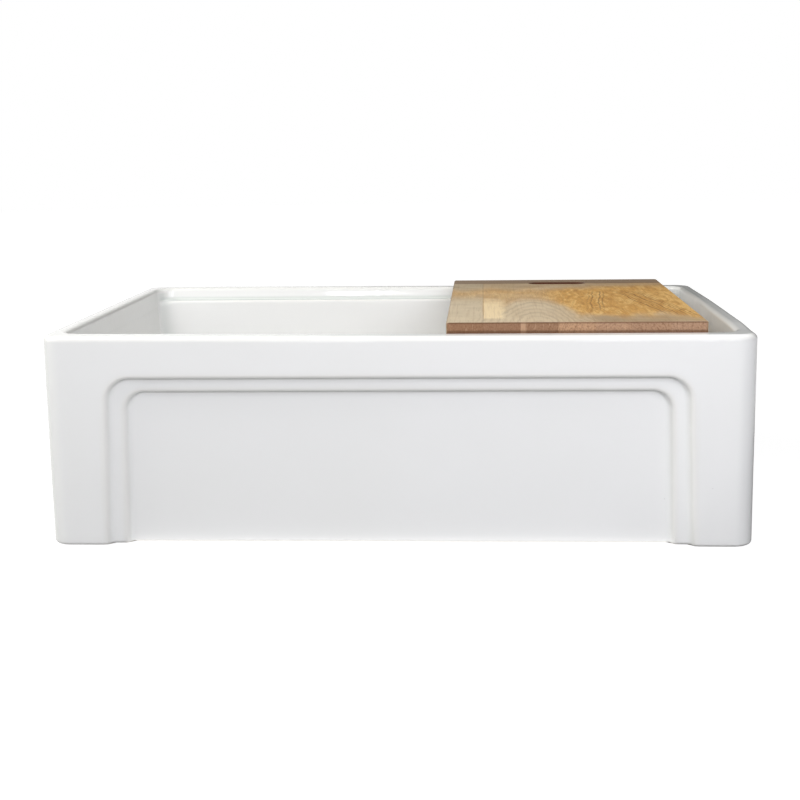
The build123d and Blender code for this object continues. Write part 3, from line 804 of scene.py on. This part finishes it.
def makeStaveWood():
    s, tone, zone = boardSize, woodTones, woodZones
    material, shader, place = newMaterial("staveWood", woodGlaze)
    x, y, z = parts(place)
    across = (x - s["left"]) / s["width"]
    figure = useGroup(woodFigure, place, {"Pith": 0.262, "Spread": 0.016, "Rings": 34.0})
    drift = figure["Cloud"] - 0.5
    ripple = streaks(place, (16.0, 11.0, 16.0))
    flame = streaks(place, (105.0, 24.0, 105.0), 3.0, 0.62, 0.7)
    bands = streaks(place, (18.0, 26.0, 18.0), 3.0, 0.55, 0.4)
    # grey washed wood: soft bands across, worn pale at the front left, and arched rings, dark and pale
    worn = y.spread(0.050, -0.070) * x.spread(0.250, 0.175)
    arch = drift * 0.35 + oval(x, y, *zone["arch"])
    nearArch, archWaver = arch.spread(1.45, 1.15), flame * 0.7 + ripple * 2.0
    archDark, archPale = thinLines(arch, 9.0, archWaver), thinLines(arch + 0.05, 9.0, archWaver)
    washed = layered(perStave(across, staveTones["washed"]),
                     (bands.spread(0.46, 0.66) * 0.40, tone["washedDark"]),
                     (bands.spread(0.50, 0.34) * 0.35, tone["washedPale"]),
                     (worn * 0.55, tone["washedPale"]),
                     (archDark * nearArch * 0.26, tone["washedDark"]),
                     (archPale * nearArch * 0.34, tone["washedPale"]))
    # oiled gold wood: flame, rings, wavy lines and long leaning ones
    flow, flowPatch = leaning(x, y, *zone["flow"])
    wavy, wavyPatch = leaning(x, y, *zone["wavy"])
    flowLine = thinLines(flow, 190.0, ripple * 5.0) * flowPatch
    wavyLine = thinLines(wavy, 190.0, figure["Curl"] * 0.8 + ripple * 3.0) * wavyPatch
    fineLine = thinLines(flow, 520.0, ripple * 13.0 + flame * 1.2) * figure["Cloud"].spread(0.34, 0.60)
    paleRight = flow.spread(0.310, 0.332) * y.spread(0.10, 0.02) * flame.spread(0.34, 0.60)
    warm = layered(tone["gold"], (flame.spread(0.47, 0.64) * 0.84, tone["goldPale"]),
                   (flame.spread(0.47, 0.31) * 0.34, tone["goldDark"]),
                   (figure["Ring"] * 0.30, tone["goldDark"]), (paleRight * 0.70, tone["goldPale"]),
                   (flowLine.calc("MAXIMUM", wavyLine) * 0.85, tone["goldLine"]),
                   (fineLine * 0.62, tone["goldDark"]))
    # the gold lies right of the arch and behind it, and fades to the front, the left and the back
    outside = (drift * 0.30 + arch).spread(0.94, 1.22)
    front = (drift * 0.22 + y).spread(*zone["goldFront"])
    back = (drift * 0.16 + y - x.spread(0.22, 0.32, *zone["goldBack"])).spread(0.045, -0.040)
    fromLeft = x.spread(0.1005, 0.1025, 0.0, 0.50) + x.spread(0.165, 0.215, 0.0, 0.50)
    leftBand = y.spread(-0.050, 0.070) * y.spread(0.190, 0.130) * 0.62
    gold = outside * front * back * fromLeft.calc("MAXIMUM", leftBand)
    # a darker front right and a pale strip beside the first joint
    frontShade = y.spread(-0.160, -0.205) * x.spread(0.200, 0.275)
    left, right, nearEnd, farEnd = zone["pale"]
    uneven = flame * 0.016 + (drift * 0.010 + x)
    paleSide = x.spread(left, left + 0.0014) * uneven.spread(right + 0.017, right + 0.004)
    paleEnd = (bands * 0.10 + y).spread(farEnd + 0.080, farEnd - 0.010)
    paleEnd = paleEnd * y.spread(nearEnd - 0.012, nearEnd + 0.012)
    # end grain at the front edge: specks, rays, ring lines and a sap edge, darker along the top, with
    # painted contact shadow along the foot
    speck = streaks(place, (420.0, 40.0, 420.0), 3.0, 0.7).spread(0.44, 0.70)
    ray = streaks(place, (330.0, 30.0, 95.0), 2.0, 0.5, 0.8).spread(0.56, 0.74)
    sapFrom = 2 / s["staves"]
    sapEdge = across.calc("GREATER_THAN", sapFrom) * across.spread(sapFrom + 0.024, sapFrom + 0.016)
    # darker along the top edge, and painted contact shadow along the foot
    darkTopAndFootShadow = z.spread(s["top"] - 0.0024, s["top"] - 0.0010).calc("MAXIMUM", z.spread(0.2550, 0.2524))
    ends = layered(perStave(across, staveTones["end"]), (speck * 0.62, tone["endDark"]),
                   (figure["Ring"] * 0.36, tone["endDark"]), (ray * 0.35, tone["ray"]),
                   (sapEdge * 0.6, tone["ray"]), (darkTopAndFootShadow * 0.62, tone["endFoot"]))
    # hairline joints: 0 is on a joint and 0.5 in the middle of a stave
    toJoint = ((across * s["staves"] + 0.5).calc("FRACT") - 0.5).calc("ABSOLUTE")
    hairline = toJoint.spread(0.012, 0.004)
    # Over the washed wood: gold, shade towards the cross batten, the pale strip, fibre and pores, end
    # grain, dark lines at the joints, the first one plainer, a dark joint line at the cross batten widened
    # by painted shade, and a painted shade line along the left edge.
    colour = layered(washed, (gold, warm), (y.spread(0.085, 0.165, 0.0, 0.30), tone["backShade"]),
                     (frontShade * 0.30, tone["washedDark"]), (paleSide * paleEnd * 0.88, tone["pale"]),
                     (figure["Fibre"].spread(0.50, 0.68) * 0.16, tone["goldDark"]),
                     (figure["Pore"] * 0.16, tone["pore"]),
                     (y.spread(s["front"] + 0.0020, s["front"] + 0.0007), ends),
                     (hairline * across.spread(0.16, 0.20, 0.42, 0.14), tone["joint"]),
                     (y.spread(s["joint"] - 0.0080, s["joint"] - 0.0020) * 0.75, tone["joint"]),
                     (x.spread(s["left"] + 0.0026, s["left"] + 0.0008, 0.0, 0.45), tone["joint"]))
    finishWood(shader, place, figure, colour, 0.46, figure["Pore"] * -1.0 + hairline * -1.5)
    return material


def makeBattenWood():
    s, tone = boardSize, woodTones
    material, shader, place = newMaterial("battenWood", woodGlaze)
    turning = {"Vector": place, "Rotation": (0, 0, math.pi / 2)}
    turnedPlace = place.through("ShaderNodeMapping", turning)
    figure = useGroup(woodFigure, turnedPlace, {"Pith": -0.16, "Spread": 0.0085, "Rings": 60.0})
    y = parts(place)[1]
    colour = layered(tone["batten"], (figure["Ring"] * 0.6, tone["battenDark"]),
                     (figure["Fibre"].spread(0.38, 0.68) * 0.35, tone["battenDark"]),
                     (figure["Pore"] * 0.40, tone["pore"]),
                     # dark joint line at the staves, widened by painted shade
                     (y.spread(s["joint"] + 0.0030, s["joint"] + 0.0006) * 0.75, tone["joint"]))
    finishWood(shader, place, figure, colour, 0.48, figure["Pore"] * -1.0)
    return material


staveWood, battenWood = makeStaveWood(), makeBattenWood()
for stave in range(1, boardSize["staves"] + 1):
    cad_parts[f"board_stave_{stave}"].material_slots[0].material = staveWood
for crossNode in ("board_end_batten", "board_splines"):
    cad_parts[crossNode].material_slots[0].material = battenWood
print("board ready")


white = (1.0, 1.0, 1.0)
studio = {
    # floor: half sizes of the hole under the base, level, reach, brightness to the eye near the sink and
    # the distances over which that rises to white, and how much light it throws back
    "floorHole": (0.385, 0.220), "floorLevel": -0.0003, "floorReach": 8.0,
    "floorLift": (0.6, 2.2, 0.91, 1.0), "floorShade": 0.22, "worldLight": 0.10,
    # where the mirrored floor darkens and lightens again: bearings right of straight back, and distance,
    # with the share that it darkens by near and far
    "dimFloor": (-4.0, 14.0, 128.0, 146.0), "dimShare": (0.65, 1.10, 0.95, 0.25),
    # the strip of floor that lights the panel's foot: half width, front and back, each with its soft
    # edge, and strength
    "footStrip": ((0.326, 0.010), (-0.2460, 0.002), (-0.228, 0.004), 0.8),
    # lamps: name, place, size, power, colour, if it lights matt surfaces, if the glaze mirrors it
    "lamps": [("frontLamp", (0.1, -2.0, 0.85), (1.6, 0.6), 19.6, (0.945, 0.95, 1.0), True, False),
              ("nearLamp", (0.8, -1.0, 0.75), (0.6, 0.4), 3.0, (0.94, 0.945, 1.0), True, False),
              ("leftLamp", (-2.0, -0.3, 1.2), (1.2, 1.2), 15.4, (1.0, 1.0, 0.955), True, True),
              ("leftHighLamp", (-1.2, -0.6, 1.8), (1.0, 1.0), 16.0, (1.0, 1.0, 0.965), True, True),
              ("rightLamp", (1.1, 0.2, 2.0), (1.2, 1.0), 7.0, (1.0, 1.0, 0.97), True, True),
              ("leftFillLamp", (-0.55, -1.3, 1.35), (0.20, 0.10), 1.5, white, True, False),
              ("rightFillLamp", (0.55, -1.3, 1.35), (0.20, 0.10), 1.5, white, True, False),
              ("leftGlintLamp", (-0.21, -1.25, 0.31), (0.20, 0.03), 0.50, white, False, True),
              ("rightGlintLamp", (0.44, -1.25, 0.31), (0.34, 0.04), 1.10, white, False, True)],
    "aim": (0.0, 0.0, 0.15),
    # dark cloths: name, first and last bearing right of straight back, distance, foot and top, bearings of
    # the faded edge
    "flags": [("farFlag", -16.0, 106.0, 2.3, (0.002, 1.5), (-16.0, 10.0))],
    "flagShade": 0.05,
}


def makeSheet(name, materialName, grid, faces):
    mesh = bpy.data.meshes.new(name)
    mesh.from_pydata(grid.reshape(-1, 3).tolist(), [], faces.tolist())
    material, tree = emptyMaterial(materialName)
    mesh.materials.append(material)
    return newObject(name, mesh), tree


def seenBy(tree, mirrorShare):
    # 1 where the camera looks at it or through clear glass, and the share where a mirror image does
    path = node(tree, "ShaderNodeLightPath")
    camera, glossy, through = (signal(tree, path, f"Is {kind} Ray")
                               for kind in ("Camera", "Glossy", "Transmission"))
    return camera.calc("MAXIMUM", glossy * mirrorShare).calc("MAXIMUM", through)


def matteShader(tree, shade):
    return node(tree, "ShaderNodeBsdfDiffuse", {"Color": (shade, shade, shade, 1)}).outputs[0]


def showMix(tree, factor, first, second):
    surface = node(tree, "ShaderNodeMixShader", {0: factor, 1: first, 2: second}).outputs[0]
    node(tree, "ShaderNodeOutputMaterial", {"Surface": surface})


def makeFloor():
    # flat rings from a hole under the base, which is a rectangle, out to a circle at the horizon, spaced
    # evenly in the logarithm of the distance; the hole lets light reach the base for views from below
    halfWidth, halfDepth = studio["floorHole"]
    angle = np.linspace(0, 2 * np.pi, 96, endpoint=False)[:, None]
    inner = 1 / np.maximum(np.abs(np.cos(angle)) / halfWidth, np.abs(np.sin(angle)) / halfDepth)
    radius = inner * (studio["floorReach"] / inner) ** np.linspace(0, 1, 24)[None, :]
    level = studio["floorLevel"] + 0 * radius
    grid = np.stack([radius * np.cos(angle), radius * np.sin(angle), level], axis=-1)
    floor, tree = makeSheet("studioFloor", "paleFloor", grid, gridFaces(grid, True, False)[:, ::-1])
    place = objectPlace(tree)
    x, y = parts(place)[:2]
    away, bearing = lengthOf(place), x.calc("ARCTAN2", y)
    # the glaze mirrors a darker floor at the back right
    dimFrom, dimFull, dimLast, dimEnd = np.radians(studio["dimFloor"])
    dim = bearing.spread(dimFrom, dimFull) * bearing.spread(dimEnd, dimLast)
    dim = dim * away.spread(*studio["dimShare"])
    seen = seenBy(tree, dim * -1.0 + 1.0)
    (half, halfSoft), (near, nearSoft), (far, farSoft), strength = studio["footStrip"]
    foot = x.calc("ABSOLUTE").spread(half + halfSoft, half - halfSoft) * strength
    foot = foot * y.spread(near - nearSoft, near + nearSoft) * y.spread(far + farSoft, far - farSoft)
    lit = (seen * away.spread(*studio["floorLift"])).calc("MAXIMUM", foot)
    glow = node(tree, "ShaderNodeEmission", {"Strength": lit}).outputs[0]
    matte = matteShader(tree, studio["floorShade"])
    upper = node(tree, "ShaderNodeAddShader", {0: matte, 1: glow}).outputs[0]
    below = signal(tree, node(tree, "ShaderNodeNewGeometry"), "Backfacing")
    showMix(tree, below, upper, node(tree, "ShaderNodeBsdfTransparent").outputs[0])


def makeFlag(name, first, last, distance, heights, faded):
    # a dark upright cloth bent round the sink's right: points on a cylinder about the sink, from one
    # bearing right of straight back to another; the camera doesn't see it, but the glaze does
    bearing = np.radians(np.linspace(first, last, 40))[:, None]
    height = np.linspace(*heights, 6)[None, :]
    away = distance + 0 * height
    grid = np.stack([away * np.sin(bearing), away * np.cos(bearing), height + 0 * bearing], axis=-1)
    flag, tree = makeSheet(name, name, grid, gridFaces(grid, False, False))
    x, y = parts(objectPlace(tree))[:2]
    dense = x.calc("ARCTAN2", y).spread(*np.radians(faded))
    clear = node(tree, "ShaderNodeBsdfTransparent").outputs[0]
    showMix(tree, dense, clear, matteShader(tree, studio["flagShade"]))
    flag.visible_camera = False


def makeWorld():
    world = bpy.data.worlds.new("whiteStudio")
    bpy.context.scene.world = world
    world.use_nodes = True
    tree = world.node_tree
    tree.nodes.clear()
    strength = seenBy(tree, 1.0) * (1.0 - studio["worldLight"]) + studio["worldLight"]
    sky = node(tree, "ShaderNodeBackground", {"Color": (*white, 1), "Strength": strength}).outputs[0]
    node(tree, "ShaderNodeOutputWorld", {"Surface": sky})


def placed(right, up, back, position):
    # the matrix with these axes and place
    columns = np.stack([right, up, back, position], axis=1)
    return Matrix([*columns.tolist(), [0, 0, 0, 1]])


def aimed(position, target):
    # a matrix whose -Z looks from the position to the target, with Y up
    away = np.subtract(position, target)
    away = away / np.linalg.norm(away)
    right = np.cross((0, 0, 1), away)
    right = right / np.linalg.norm(right)
    return placed(right, np.cross(away, right), away, position)


def makeLamps():
    for name, position, size, power, colour, lights, mirrored in studio["lamps"]:
        lamp = bpy.data.lights.new(name, "AREA")
        lamp.shape = "RECTANGLE"
        lamp.size, lamp.size_y = size
        lamp.energy, lamp.color = power, colour
        holder = newObject(name, lamp)
        holder.matrix_world = aimed(position, studio["aim"])
        holder.visible_camera, holder.visible_diffuse, holder.visible_glossy = False, lights, mirrored


# the photograph's view: the camera stands right of the middle, turned a little left and not quite level
viewFrom = {"place": (0.1029, -1.6716, 0.4739), "yaw": math.radians(-2.782), "pitch": math.radians(9.201),
            "roll": math.radians(-0.706), "lens": 56.100, "sensor": 36.0, "shift": (-0.0300, -0.0709),
            "clip": (0.05, 50.0)}


def makeCamera():
    v = viewFrom
    turns = np.array([v["yaw"], v["pitch"], v["roll"]])
    (sinYaw, sinPitch, sinRoll), (cosYaw, cosPitch, cosRoll) = np.sin(turns), np.cos(turns)
    ahead = np.array([sinYaw * cosPitch, cosYaw * cosPitch, -sinPitch])
    right = np.array([cosYaw, -sinYaw, 0.0])
    up = np.cross(right, ahead)
    right, up = cosRoll * right + sinRoll * up, cosRoll * up - sinRoll * right
    camera = bpy.data.cameras.new("photoCamera")
    camera.sensor_width, camera.lens = v["sensor"], v["lens"]
    camera.shift_x, camera.shift_y = v["shift"]
    camera.clip_start, camera.clip_end = v["clip"]
    holder = newObject("photoCamera", camera)
    holder.matrix_world = placed(right, up, -ahead, v["place"])
    bpy.context.scene.camera = holder


makeFloor()
for flag in studio["flags"]:
    makeFlag(*flag)
makeWorld()
makeLamps()
makeCamera()
bpy.context.scene.view_settings.view_transform = "Standard"
print("studio ready")
